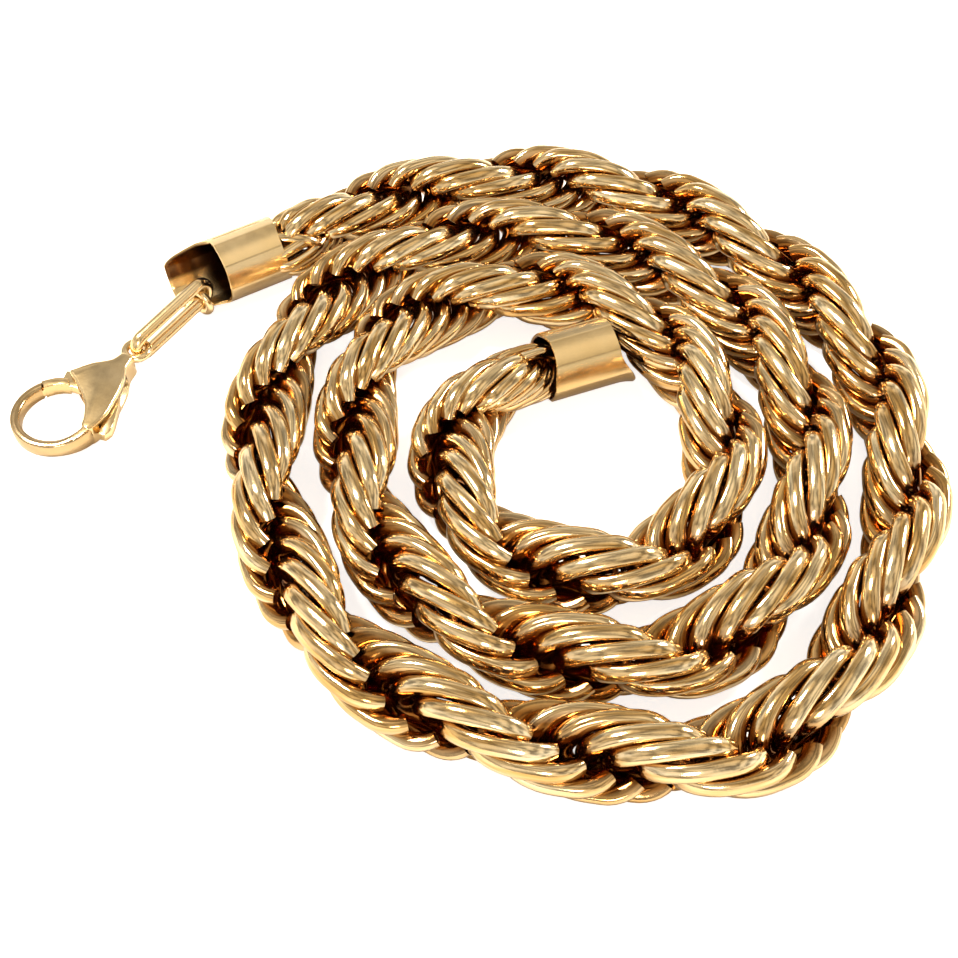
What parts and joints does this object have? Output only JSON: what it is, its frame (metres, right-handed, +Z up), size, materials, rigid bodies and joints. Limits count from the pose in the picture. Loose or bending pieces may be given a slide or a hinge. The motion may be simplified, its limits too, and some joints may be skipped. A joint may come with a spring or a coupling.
{
  "type": "rope chain necklace",
  "caption": "Open rope chain of interlocking C-shaped links lying as a flat spiral, with a sheet sleeve on each end, an oval jump ring and a lobster clasp with a hinged lever.",
  "frame": {"origin": "middle of the outline on the surface that the necklace lies on", "axes": "+Z up from the surface, +X along the outline's longer side with the clasp at -X, +Y away from the viewer of the picture"},
  "size_m": [0.1096, 0.0954, 0.0099],
  "materials": {
    "gold": "polished"
  },
  "bodies": {
    "necklace": {"rope_chain_outer_half": "gold", "rope_chain_inner_half": "gold", "outer_end_sleeve": "gold", "inner_end_sleeve": "gold", "jump_ring": "gold", "clasp_body": "gold"},
    "lever": {"clasp_lever": "gold"}
  },
  "joints": [
    {"name": "clasp_lever_hinge", "type": "hinge", "parent": "necklace", "child": "lever", "pos_m": [-0.04492, 0.00848, 0.0016], "axis": [0, 0, 1], "range_deg": [0, 20], "stiffness_Nm_per_rad": 0.0005, "springref_deg": -20.05}
  ]
}
